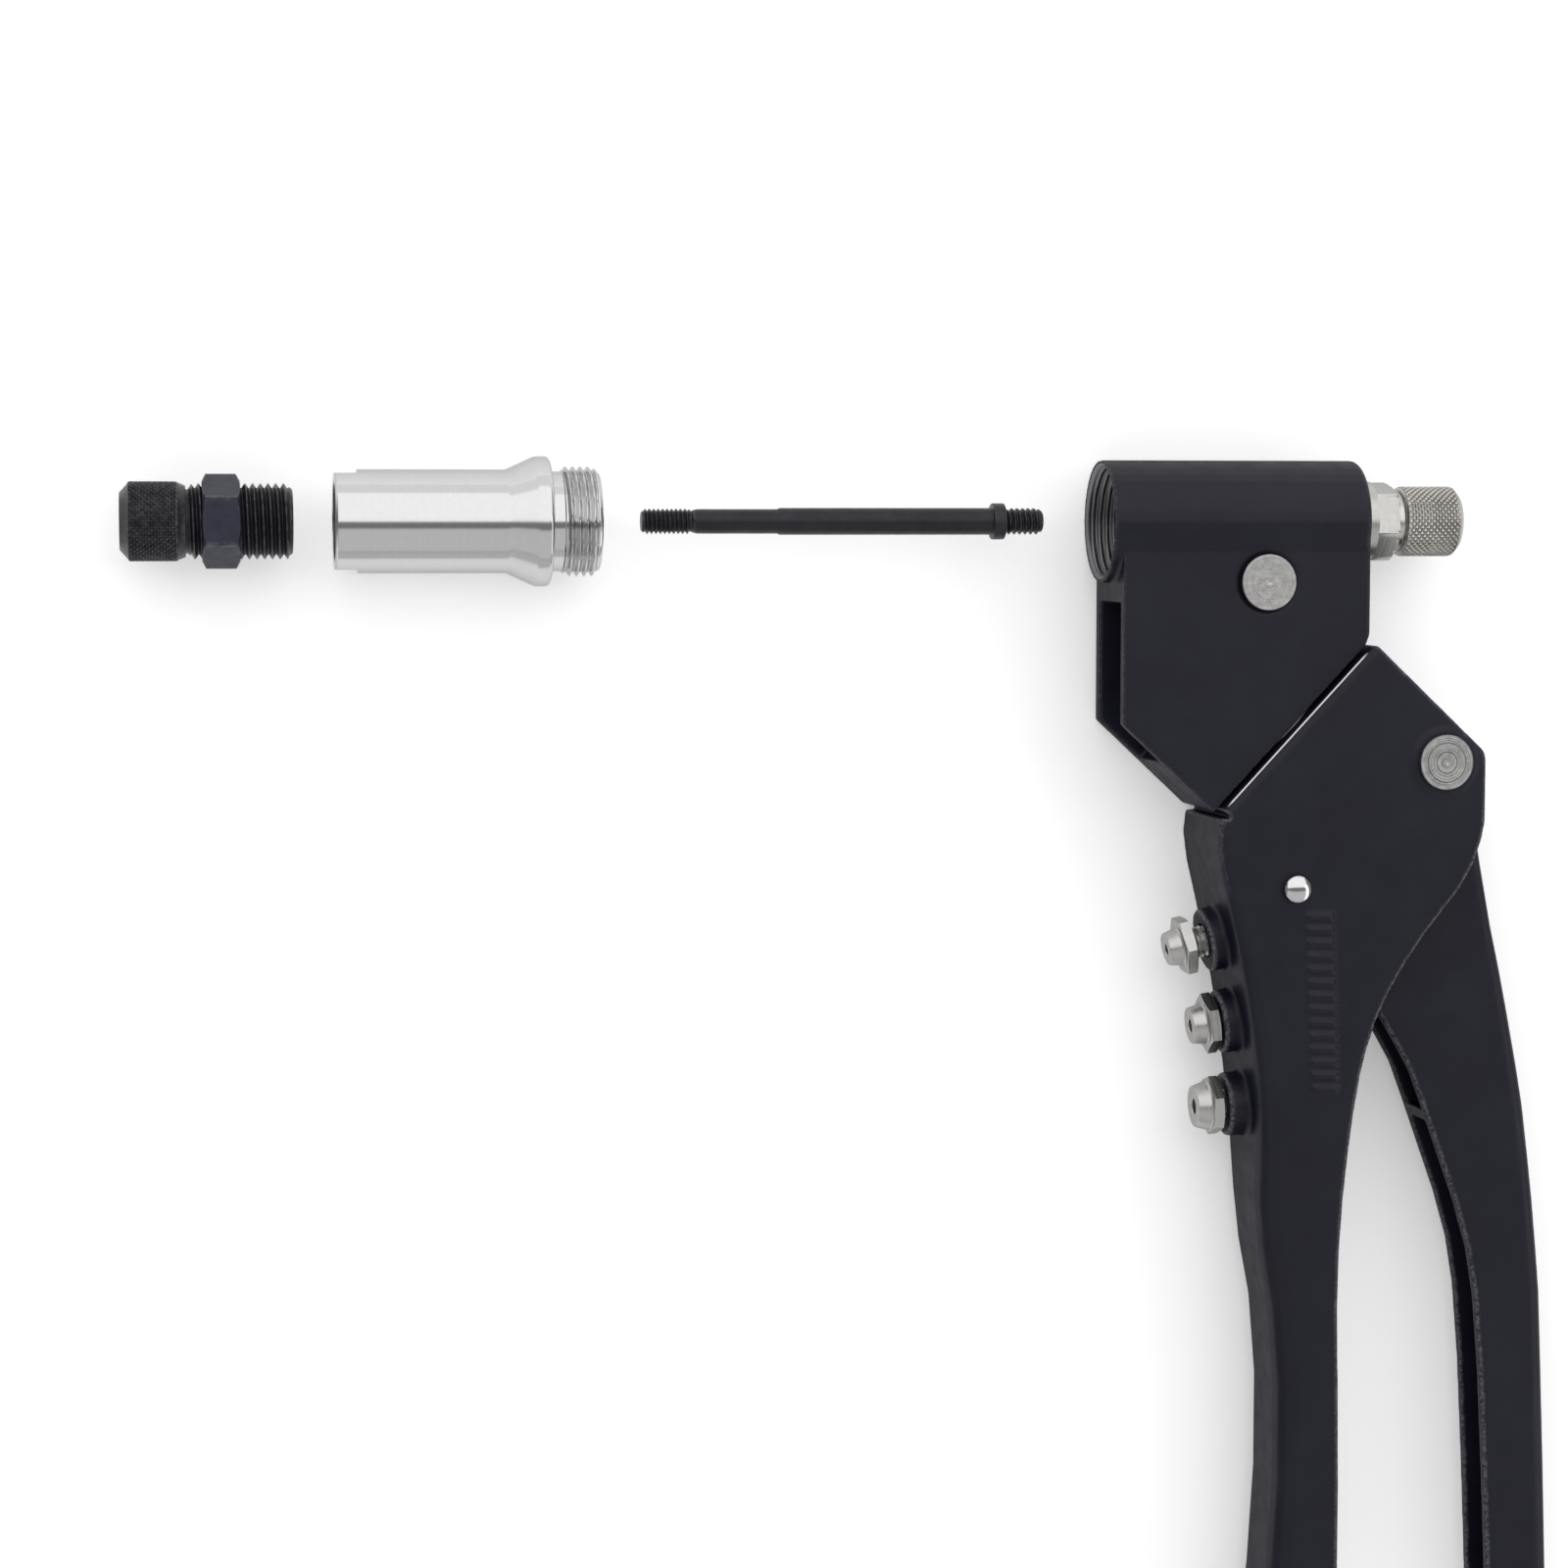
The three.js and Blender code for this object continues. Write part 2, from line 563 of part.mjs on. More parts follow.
const sleeveLeft = -155.54;
function frontSleeve() {
  const turnedBody = turned([[sleeveLeft, 7.8], [sleeveLeft, 10.1], [-155.1, 10.3], [-121.8, 10.3],
    [-116.1, 12.95], [-113.7, 12.95], [-113.1, 12.4], [-113.1, 9.93], [-110.6, 9.93], [-110.4, 10.9],
    [-103.8, 10.9], [-103.2, 10.3], [-103.2, 8.8], [-133, 8.8], [-133.5, 7.8]], 28);
  const flatHeight = 9.5;
  const flats = [1, -1].map((side) => new THREE.BoxGeometry(6, 4, 30)
    .translate(sleeveLeft + 1.47, side * (flatHeight + 2), 0));
  return cut(turnedBody, ...flats);
}
add('front_sleeve', frontSleeve(), nickel);

const noseBore = 3.2;
add('nosepiece', turned([[-197.16, noseBore], [-197.16, 5.62], [-194.64, 7.82], [-185.93, 7.82],
  [-184.41, 7.0], [-184.41, 6.3], [-183.6, 7.3], [-164.3, 7.3], [-163.67, 6.7], [-163.67, noseBore]]),
blackOxide);
add('lock_nut', cut(hexagon(-181.24, -173.88, 16.1), throughBore(-190, -160, 7.6)), blackOxide);

// ---------- spare noses in their bosses ----------
function storedNose({ standOff, turn, cone, tip, bore }) {
  const sides = 18;
  const hexEnd = standOff + noseHex.thickness;
  const tail = standOff - 7.2;
  const shank = turnedSolid([[tail, 0], [tail, 3.3], [standOff + 0.5, 3.3], [standOff + 0.5, 0]], sides);
  const front = turnedSolid([[hexEnd - 0.5, 0], [hexEnd - 0.5, cone], [hexEnd, cone],
    [hexEnd + noseHex.coneLength, tip], [hexEnd + noseHex.coneLength, 0]], sides);
  const throughHole = turnedSolid([[-10, 0], [-10, bore], [20, bore], [20, 0]], 12);
  return cut(join(shank, hexagon(standOff, hexEnd, noseHex.acrossFlats, turn), front), throughHole);
}
for (const nose of storedNoses) {
  const { x, y, angle } = bossFrame(nose);
  const mesh = add(nose.name, storedNose(nose), nickel);
  mesh.position.set(x, y, 0);
  mesh.rotation.z = angle;
}

// ---------- origin at the bottom centre of the bounding box ----------
riveter.updateMatrixWorld(true);
const bounds = new THREE.Box3().setFromObject(riveter, true);
const middle = bounds.getCenter(new THREE.Vector3());
riveter.position.set(-middle.x, -middle.y, -bounds.min.z);

export default riveter;
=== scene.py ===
"""Looks of the swivel-head hand riveter: every shape is in millimetres from the barrel axis at the
barrel's front rim, and goes through at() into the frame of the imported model, which is in metres."""

import math

import bmesh
import bpy
from mathutils import Matrix, Vector


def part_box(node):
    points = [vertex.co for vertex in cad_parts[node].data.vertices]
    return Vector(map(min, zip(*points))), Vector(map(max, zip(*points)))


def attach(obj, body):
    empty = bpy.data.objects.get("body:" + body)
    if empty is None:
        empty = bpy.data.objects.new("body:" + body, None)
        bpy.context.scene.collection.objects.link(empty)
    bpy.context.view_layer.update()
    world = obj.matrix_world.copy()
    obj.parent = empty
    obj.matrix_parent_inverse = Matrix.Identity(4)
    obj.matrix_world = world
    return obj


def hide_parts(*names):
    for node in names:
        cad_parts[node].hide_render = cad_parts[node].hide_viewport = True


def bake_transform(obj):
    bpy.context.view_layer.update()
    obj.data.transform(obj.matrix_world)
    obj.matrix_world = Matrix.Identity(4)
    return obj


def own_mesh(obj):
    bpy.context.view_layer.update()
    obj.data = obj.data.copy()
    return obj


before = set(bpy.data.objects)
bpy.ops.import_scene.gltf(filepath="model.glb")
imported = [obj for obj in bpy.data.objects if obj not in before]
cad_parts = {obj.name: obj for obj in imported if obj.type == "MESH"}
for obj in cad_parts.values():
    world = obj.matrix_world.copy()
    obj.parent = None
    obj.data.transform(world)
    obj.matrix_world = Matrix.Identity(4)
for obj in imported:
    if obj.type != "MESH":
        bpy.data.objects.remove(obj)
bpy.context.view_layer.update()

MM = 0.001
TAU = 2 * math.pi

# ---------------------------------------------------------------- places taken from the frame
head_low, head_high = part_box("head_housing")
mandrel_low, mandrel_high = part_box("mandrel")
BARREL_RADIUS = 12.5
ORIGIN = Vector((head_low.x, head_high.y - BARREL_RADIUS * MM, (mandrel_low.z + mandrel_high.z) / 2))


def at(x, y, z=0.0):
    """A point in millimetres from the barrel axis at the barrel's front rim, in the row frame."""
    return ORIGIN + Vector((x, y, z)) * MM


def centre_of(node):
    low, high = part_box(node)
    return (low + high) / 2


def relative(point):
    """A row-frame point in millimetres from the barrel axis at the barrel's front rim."""
    return (point - ORIGIN) / MM


# ---------------------------------------------------------------- driving sizes, in millimetres
BODY_HALF = 13.2
CHEEK_HALF = 11.2
SWIVEL_ANGLE = math.radians(136.7)
SWIVEL = Vector((math.cos(SWIVEL_ANGLE), math.sin(SWIVEL_ANGLE), 0))
SWIVEL_CENTRE = (38.2, -41.87)
HANDLE_FACE = -0.4
CRANK_PIVOT = relative(centre_of("crank_pin"))
LEVER_PIVOT = relative(centre_of("lever_pin"))
SPRING_PIVOT = relative(centre_of("spring_pin"))
PITCH = 1.5


# ---------------------------------------------------------------- node material helpers
def new_material(name, color, roughness, metallic):
    material = bpy.data.materials.new(name)
    material.use_nodes = True
    shader = material.node_tree.nodes["Principled BSDF"]
    shader.inputs["Base Color"].default_value = (*color, 1)
    shader.inputs["Roughness"].default_value = roughness
    shader.inputs["Metallic"].default_value = metallic
    return material, shader


class Nodes:
    """Short calls for building one material's node tree."""

    def __init__(self, material, shader):
        self.tree = material.node_tree
        self.shader = shader
        self.place = self.add("ShaderNodeTexCoord").outputs["Object"]

    def add(self, kind, **values):
        node = self.tree.nodes.new(kind)
        for key, value in values.items():
            setattr(node, key, value)
        return node

    def link(self, source, target):
        self.tree.links.new(source, target)

    def noise(self, scale, detail=4, rough=0.55):
        noise = self.add("ShaderNodeTexNoise")
        noise.inputs["Scale"].default_value = scale
        noise.inputs["Detail"].default_value = detail
        noise.inputs["Roughness"].default_value = rough
        self.link(self.place, noise.inputs["Vector"])
        return noise.outputs["Fac"]

    def ramp(self, source, *stops):
        ramp = self.add("ShaderNodeValToRGB")
        elements = ramp.color_ramp.elements
        while len(elements) < len(stops):
            elements.new(0.5)
        for element, (position, value) in zip(elements, stops):
            element.position = position
            element.color = (*value, 1)
        self.link(source, ramp.inputs["Fac"])
        return ramp.outputs["Color"]

    def grey_ramp(self, source, *stops):
        return self.ramp(source, *[(position, (value, value, value)) for position, value in stops])

    def multiply(self, first, second):
        node = self.add("ShaderNodeMath", operation="MULTIPLY")
        self.link(first, node.inputs[0])
        self.link(second, node.inputs[1])
        return node.outputs[0]

    def mix(self, factor, first, second):
        node = self.add("ShaderNodeMix", data_type="RGBA")
        self.link(factor, node.inputs["Factor"])
        for value, socket in ((first, node.inputs[6]), (second, node.inputs[7])):
            if isinstance(value, tuple):
                socket.default_value = (*value, 1)
            else:
                self.link(value, socket)
        return node.outputs[2]

    def tint(self, first, second):
        """The two colours multiplied."""
        node = self.add("ShaderNodeMix", data_type="RGBA", blend_type="MULTIPLY")
        node.inputs["Factor"].default_value = 1
        self.link(first, node.inputs[6])
        self.link(second, node.inputs[7])
        return node.outputs[2]

    def attribute(self, name):
        return self.add("ShaderNodeAttribute", attribute_name=name).outputs["Fac"]

    def lathe_lines(self, per_mm, wobble=0.0, detail=3, rough=0.6):
        """Fine lines that follow the turning of a part; wobble, in millimetres, makes them uneven."""
        scaled = self.add("ShaderNodeMath", operation="MULTIPLY")
        scaled.inputs[1].default_value = per_mm
        if wobble:
            shaken = self.add("ShaderNodeMath", operation="MULTIPLY_ADD")
            self.link(self.noise(500, 4, 0.7), shaken.inputs[0])
            shaken.inputs[1].default_value = wobble
            self.link(self.attribute("lathe"), shaken.inputs[2])
            self.link(shaken.outputs[0], scaled.inputs[0])
        else:
            self.link(self.attribute("lathe"), scaled.inputs[0])
        noise = self.add("ShaderNodeTexNoise", noise_dimensions="1D")
        noise.inputs["Scale"].default_value = 1
        noise.inputs["Detail"].default_value = detail
        noise.inputs["Roughness"].default_value = rough
        self.link(scaled.outputs[0], noise.inputs["W"])
        return noise.outputs["Fac"]

    def distance_along(self, direction, start):
        """Millimetres along a direction from a starting point, both in the row frame."""
        offset = self.add("ShaderNodeVectorMath", operation="SUBTRACT")
        self.link(self.place, offset.inputs[0])
        offset.inputs[1].default_value = start
        scaled = self.add("ShaderNodeVectorMath", operation="DOT_PRODUCT")
        self.link(offset.outputs["Vector"], scaled.inputs[0])
        scaled.inputs[1].default_value = Vector(direction) / MM
        return scaled.outputs["Value"]

    def band(self, source, low, high, soft):
        """1 between low and high, fading to 0 over the soft width outside them."""
        spread = self.add("ShaderNodeMapRange")
        self.link(source, spread.inputs["Value"])
        spread.inputs["From Min"].default_value = low - 2 * soft
        spread.inputs["From Max"].default_value = high + 2 * soft
        step = soft / (high - low + 4 * soft)
        return self.grey_ramp(spread.outputs["Result"], (step, 0), (2 * step, 1), (1 - 2 * step, 1),
                              (1 - step, 0))

    def turned_away(self):
        """0 on a surface seen face on, 1 on one seen edge on."""
        return self.add("ShaderNodeLayerWeight").outputs["Facing"]

    def bump(self, height, strength, distance):
        bump = self.add("ShaderNodeBump")
        bump.inputs["Strength"].default_value = strength
        bump.inputs["Distance"].default_value = distance * MM
        self.link(height, bump.inputs["Height"])
        self.link(bump.outputs["Normal"], self.shader.inputs["Normal"])


# ---------------------------------------------------------------- materials
def cast_black(name, wear_and_highlight_tone, painted_highlight_rim=False):
    """Satin black paint on a die casting: fine orange peel, cloudy gloss, faintly rubbed edges, which on
    the handles are lightened further as a painted edge highlight, and optionally a painted highlight line
    along the swivel edge.
    """
    material, shader = new_material(name, (0.010, 0.010, 0.015), 0.42, 0.0)
    nodes = Nodes(material, shader)
    cloud = nodes.noise(60, 5)
    tone = nodes.ramp(cloud, (0.3, (0.0055, 0.0055, 0.012)), (0.7, (0.0085, 0.0085, 0.0165)))
    rubbed = nodes.grey_ramp(nodes.noise(1400, 4, 0.65), (0.4, 0.1), (0.6, 1))
    # lighter tone on convex edges: rubbed paint, and with the handles' higher tone also a painted edge
    # highlight
    lightened_edges = nodes.multiply(nodes.grey_ramp(nodes.attribute("edge_wear"), (0.25, 0), (0.8, 1)), rubbed)
    surface = nodes.mix(lightened_edges, tone, (wear_and_highlight_tone, wear_and_highlight_tone, wear_and_highlight_tone * 1.1))
    # painted highlight: a thin near-white line along the swivel face's near edge, mixed into the paint
    # colour
    if painted_highlight_rim:
        surface = nodes.mix(swivel_painted_highlight(nodes), surface, (0.85, 0.85, 0.85))
    nodes.link(surface, shader.inputs["Base Color"])
    nodes.link(nodes.grey_ramp(nodes.noise(220, 6), (0.3, 0.36), (0.7, 0.46)), shader.inputs["Roughness"])
    shader.inputs["Specular IOR Level"].default_value = 0.23
    nodes.link(nodes.grey_ramp(nodes.turned_away(), (0.35, 0.23), (0.8, 0.02)),
               shader.inputs["Specular IOR Level"])
    nodes.bump(nodes.noise(1500, 3, 0.5), 0.14, 0.05)
    return material


def swivel_painted_highlight(nodes):
    """A painted highlight: the thin bright line along the near edge of the handle's swivel face."""
    middle = at(*SWIVEL_CENTRE)
    inward = nodes.distance_along(-SWIVEL, middle)
    sideways = nodes.distance_along(SWIVEL.cross(Vector((0, 0, 1))), middle)
    upward = nodes.distance_along((0, 0, 1), middle)
    face = -HANDLE_FACE
    thin = nodes.band(inward, face + 0.26, face + 0.40, 0.07)
    length = nodes.band(sideways, -20, 20, 1.5)
    near_side = nodes.band(upward, BODY_HALF - 1.6, BODY_HALF, 0.1)
    return nodes.multiply(nodes.multiply(thin, length), near_side)


def plated(name, color, roughness, spread, per_mm, contrast=0.07, mottle=0.1, wobble=0.0):
    """Bright plated or turned metal: fine lines round its own axis, a mottled tone, a darker colour deep
    in knurl cuts.
    """
    material, shader = new_material(name, color, roughness, 1.0)
    shader.inputs["Specular Tint"].default_value = (0.7, 0.7, 0.7, 1)
    nodes = Nodes(material, shader)
    lines = nodes.lathe_lines(per_mm, wobble)
    turned = nodes.ramp(lines, (0.3, tuple(value * (1 - contrast) for value in color)), (0.6, color))
    cloud = nodes.grey_ramp(nodes.noise(700, 6, 0.7), (0.35, 0), (0.65, 1))
    patches = nodes.mix(cloud, (1.0, 1.0, 1.0), (1 - mottle, 1 - mottle, 1 - mottle))
    # colour darker the deeper a point sits in a knurl cut
    dull = nodes.ramp(nodes.attribute("hollow"), (0, (1.0, 1.0, 1.0)), (1, (0.20, 0.185, 0.16)))
    tone = nodes.tint(nodes.tint(turned, patches), dull)
    nodes.link(tone, shader.inputs["Base Color"])
    nodes.link(nodes.grey_ramp(lines, (0.3, roughness - spread), (0.7, roughness + spread)),
               shader.inputs["Roughness"])
    nodes.bump(lines, 0.15, 0.015)
    return material


def black_oxide(name, dark, light):
    """Oiled black oxide on steel: cloudy, with faintly rubbed edges."""
    material, shader = new_material(name, dark, 0.40, 0.55)
    nodes = Nodes(material, shader)
    tone = nodes.ramp(nodes.noise(240, 6), (0.3, dark), (0.7, light))
    rubbed = nodes.grey_ramp(nodes.noise(900, 4), (0.4, 0.1), (0.62, 1))
    lightened_edges = nodes.multiply(nodes.attribute("edge_wear"), rubbed)
    nodes.link(nodes.mix(lightened_edges, tone, (0.06, 0.06, 0.065)), shader.inputs["Base Color"])
    nodes.link(nodes.grey_ramp(nodes.noise(700, 5), (0.3, 0.30), (0.7, 0.48)), shader.inputs["Roughness"])
    nodes.bump(nodes.noise(1800, 4), 0.15, 0.03)
    return material


def dark_steel():
    """Oiled dark steel of the hidden mechanism."""
    material, shader = new_material("dark_steel", (0.13, 0.13, 0.135), 0.38, 0.9)
    nodes = Nodes(material, shader)
    nodes.link(nodes.ramp(nodes.noise(180, 6), (0.3, (0.09, 0.09, 0.095)), (0.7, (0.17, 0.17, 0.175))),
               shader.inputs["Base Color"])
    nodes.link(nodes.grey_ramp(nodes.noise(600, 4), (0.3, 0.28), (0.7, 0.5)), shader.inputs["Roughness"])
    nodes.bump(nodes.noise(1200, 3), 0.1, 0.03)
    return material


def floor_white():
    """A pale table top with a little light of its own, which keeps the shadows faint."""
    material, shader = new_material("studio_floor", (0.88, 0.88, 0.88), 0.7, 0.0)
    shader.inputs["Emission Color"].default_value = (1, 1, 1, 1)
    shader.inputs["Emission Strength"].default_value = 0.28
    return material


# edge tones: 0.04 on the head is rubbed paint; 0.11 on the handles is rubbed paint plus a painted edge
# highlight
CAST = cast_black("satin_black_casting", 0.04)
# the fixed handle also carries the painted highlight line on its swivel edge
CAST_FIXED = cast_black("satin_black_fixed_handle", 0.11, painted_highlight_rim=True)
CAST_MOVING = cast_black("satin_black_moving_handle", 0.11)
NICKEL = plated("bright_nickel", (0.56, 0.56, 0.558), 0.14, 0.03, 3.0, 0.03, 0.03)
DULLED = plated("dulled_nickel", (0.57, 0.555, 0.525), 0.26, 0.08, 4.0, 0.10)
TURNED = plated("turned_pin_steel", (0.47, 0.465, 0.455), 0.40, 0.10, 3.0, 0.14, 0.35, 0.3)
COARSE = plated("coarse_turned_steel", (0.48, 0.48, 0.475), 0.40, 0.14, 2.6, 0.60, 0.35, 0.2)
BUFFED = plated("buffed_nickel", (0.47, 0.465, 0.45), 0.30, 0.08, 3.0, 0.10)
THREADED = plated("machined_thread", (0.20, 0.20, 0.21), 0.34, 0.06, 2.0)
OXIDE = black_oxide("black_oxide_steel", (0.011, 0.011, 0.015), (0.020, 0.020, 0.025))
BLUED = black_oxide("blued_nut_steel", (0.015, 0.016, 0.030), (0.027, 0.028, 0.046))
DARK = dark_steel()
SPRING = plated("spring_steel", (0.30, 0.30, 0.31), 0.30, 0.08, 2.0)


# ---------------------------------------------------------------- mesh helpers
def finish_piece(obj, body, slot, *nodes):
    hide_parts(*nodes)
    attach(obj, body)


def inside_box(point, box):
    return all(low < value < high for value, (low, high) in zip(relative(point), box))


def mark_edges(mesh, plain_box=None, evening_rounds=0):
    """Stores how strongly each vertex sits on a convex edge, for the wear in the materials, which on the
    cast handles is also a painted edge highlight.
    Evening rounds blend each vertex with its neighbours."""
    work = bmesh.new()
    work.from_mesh(mesh)
    wear = []
    for vertex in work.verts:
        bend = max((edge.calc_face_angle_signed(0) for edge in vertex.link_edges), default=0)
        if plain_box and inside_box(vertex.co, plain_box):
            bend = 0
        wear.append(min(max((math.degrees(bend) - 6) / 14, 0), 1))
    for _ in range(evening_rounds):
        evened = []
        for vertex in work.verts:
            others = [wear[edge.other_vert(vertex).index] for edge in vertex.link_edges]
            evened.append((wear[vertex.index] + sum(others)) / (1 + len(others)))
        wear = evened
    work.free()
    attribute = mesh.attributes.new("edge_wear", "FLOAT", "POINT")
    attribute.data.foreach_set("value", wear)


def object_from(name, verts, faces, material, sharp=40, **marks):
    """A mesh object; each mark is a named list with one number per vertex for the materials."""
    mesh = bpy.data.meshes.new(name)
    mesh.from_pydata([tuple(v) for v in verts], [], faces)
    for mark, values in marks.items():
        mesh.attributes.new(mark, "FLOAT", "POINT").data.foreach_set("value", values)
    mesh.validate()
    work = bmesh.new()
    work.from_mesh(mesh)
    bmesh.ops.remove_doubles(work, verts=work.verts, dist=1e-7)
    bmesh.ops.recalc_face_normals(work, faces=work.faces)
    work.to_mesh(mesh)
    work.free()
    mesh.shade_smooth()
    mark_edges(mesh)
    mesh.set_sharp_from_angle(angle=math.radians(sharp))
    mesh.materials.append(material)
    obj = bpy.data.objects.new(name, mesh)
    bpy.context.scene.collection.objects.link(obj)
    return obj


def softened(points, radius, steps=3, closed=False):
    """The profile with each corner turned into a small arc."""
    result = []
    count = len(points)
    for i, point in enumerate(points):
        here = Vector(point[:2])
        if not closed and i in (0, count - 1):
            result.append(here)
            continue
        before = Vector(points[i - 1][:2]) - here
        after = Vector(points[(i + 1) % count][:2]) - here
        if before.length < 1e-6 or after.length < 1e-6 or before.angle(after) > math.radians(176):
            result.append(here)
            continue
        reach = min(radius, before.length * 0.45, after.length * 0.45)
        first = here + before.normalized() * reach
        last = here + after.normalized() * reach
        for k in range(steps + 1):
            t = k / steps
            result.append(first * (1 - t) ** 2 + here * 2 * t * (1 - t) + last * t * t)
    return result


class Ring:
    """One ring of a turned part: x along the axis, radius, and a rule that shapes it by angle.
    Relief is the depth below the radius at which the colour is darkest."""

    def __init__(self, x, radius, rule=None, relief=1000.0):
        self.x = x
        self.radius = radius
        self.rule = rule
        self.relief = relief

    def at_angle(self, angle):
        return self.rule(self.x, angle, self.radius) if self.rule else self.radius


def plain(points, radius=0.12, steps=3, closed=False):
    """Rings along a smooth turned profile of (x, radius) points."""
    return [Ring(p.x, max(p.y, 0)) for p in softened(points, radius, steps, closed)]


def turn(name, rings, material, place, direction, segments=96, closed=True, sharp=40, spin=0):
    """Turns the rings about an axis through place. Angle 0 faces +Z, or +Y for an upright axis, and
    spin turns it by some degrees, towards +Y where the axis lies flat."""
    along = Vector(direction).normalized()
    upright_axis = abs(along.z) >= 0.9
    up = Vector((0, 1, 0)) if upright_axis else Vector((0, 0, 1))
    side = up.cross(along).normalized()
    spin_angle = math.radians(spin) * (1 if side.y >= 0 else -1)
    verts = []
    lathe = []
    hollow = []
    for ring in rings:
        for j in range(segments):
            angle = TAU * j / segments
            r = ring.at_angle(angle)
            lathe.append(ring.x + ring.radius)
            hollow.append(min(max((ring.radius - r) / ring.relief, 0), 1))
            shown = angle + spin_angle
            offset = up * math.cos(shown) * r + side * math.sin(shown) * r
            verts.append(place + (along * ring.x + offset) * MM)
    faces = []
    count = len(rings)
    for i in range(count if closed else count - 1):
        k = (i + 1) % count
        for j in range(segments):
            m = (j + 1) % segments
            faces.append((i * segments + j, i * segments + m, k * segments + m, k * segments + j))
    return object_from(name, verts, faces, material, sharp, lathe=lathe, hollow=hollow)


def thread_rings(x0, x1, crest, depth, pitch=PITCH, per_pitch=14, in_bore=False, runout=0.6):
    """Rings of a helical V thread between x0 and x1. On a rod it is cut below the crest radius and runs
    out at both ends; in a bore it is cut outwards from it."""
    def rule(x, angle, radius):
        phase = (x / pitch + angle / TAU) % 1
        wave = min(max(abs(2 * phase - 1) * 1.25 - 0.125, 0), 1)
        if in_bore:
            return radius + depth * wave
        lead = min((x - low) / (runout * pitch), (high - x) / (runout * pitch), 1)
        return radius - depth * (1 - wave * max(lead, 0))
    low, high = min(x0, x1), max(x0, x1)
    count = max(4, round(abs(x1 - x0) / pitch * per_pitch))
    return [Ring(x0 + (x1 - x0) * i / count, crest, rule) for i in range(count + 1)]


def knurl_rings(x0, x1, radius, depth, around, pitch, per_pitch=6):
    """Rings of a diamond knurl, fading into plain metal at both ends."""
    def rule(x, angle, base):
        along = x / pitch
        turn_part = angle / TAU * around
        first = abs(2 * ((turn_part + along) % 1) - 1)
        second = abs(2 * ((turn_part - along) % 1) - 1)
        fade = min(1, (x - x0) / 0.35, (x1 - x) / 0.35)
        groove = 1 - min(1, 1.5 * min(1 - first, 1 - second))
        return base - depth * groove * max(fade, 0) - depth * 0.4 * (1 - max(fade, 0))
    count = round((x1 - x0) / pitch * per_pitch)
    return [Ring(x0 + (x1 - x0) * i / count, radius, rule, depth * 1.1) for i in range(count + 1)]


def hex_rule(across_flats):
    """Limits a turned radius to a hexagon with one flat facing up."""
    def rule(x, angle, radius):
        local = (angle + math.pi / 6) % (math.pi / 3) - math.pi / 6
        return min(radius, across_flats / 2 / math.cos(local))
    return rule


def hex_rings(x0, x1, across_flats, chamfer=0.62):
    """Rings of a hexagon whose corners are turned off at both ends; chamfer is the turned-off length as
    a share of the height of the corners over the flats."""
    corner = across_flats / math.sqrt(3)
    flat = across_flats / 2
    smallest = flat * 0.985
    largest = corner * 1.002
    rule = hex_rule(across_flats)
    rings = []
    steps = 7
    reach = (corner - flat) * chamfer
    for i in range(steps + 1):
        t = i / steps
        rings.append(Ring(x0 + reach * t, smallest + (largest - smallest) * t, rule))
    for i in range(steps + 1):
        t = 1 - i / steps
        rings.append(Ring(x1 - reach * t, smallest + (largest - smallest) * t, rule))
    return rings


def wire(name, points, radius, material, sides=12):
    """A round wire swept along points, given in the row frame."""
    verts = []
    faces = []
    count = len(points)
    normal = Vector((0, 0, 1))
    for i, point in enumerate(points):
        ahead = points[min(i + 1, count - 1)] - points[max(i - 1, 0)]
        ahead.normalize()
        normal = (normal - ahead * normal.dot(ahead)).normalized()
        side = ahead.cross(normal)
        at_end = i in (0, count - 1)
        size = radius * (0.6 if at_end else 1.0)
        for j in range(sides):
            angle = TAU * j / sides
            verts.append(point + (normal * math.cos(angle) + side * math.sin(angle)) * size * MM)
    for i in range(count - 1):
        for j in range(sides):
            k = (j + 1) % sides
            faces.append((i * sides + j, i * sides + k, (i + 1) * sides + k, (i + 1) * sides + j))
    faces.append(tuple(range(sides))[::-1])
    faces.append(tuple((count - 1) * sides + j for j in range(sides)))
    return object_from(name, verts, faces, material, 60)


def apply_modifiers(obj):
    bpy.context.view_layer.update()
    graph = bpy.context.evaluated_depsgraph_get()
    mesh = bpy.data.meshes.new_from_object(obj.evaluated_get(graph))
    obj.modifiers.clear()
    obj.data = mesh


def melted(name, node, material, voxel, cutter=None):
    """A CAD node's shape as one even skin of small faces, ready to be smoothed."""
    obj = bpy.data.objects.new(name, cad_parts[node].data.copy())
    bpy.context.scene.collection.objects.link(obj)
    obj.data.materials.clear()
    obj.data.materials.append(material)
    if cutter:
        cut = obj.modifiers.new("cut", "BOOLEAN")
        cut.operation = "DIFFERENCE"
        cut.solver = "EXACT"
        cut.object = cutter
    remesh = obj.modifiers.new("melt", "REMESH")
    remesh.mode = "VOXEL"
    remesh.voxel_size = voxel * MM
    apply_modifiers(obj)
    if cutter:
        bpy.data.objects.remove(cutter)
    return obj


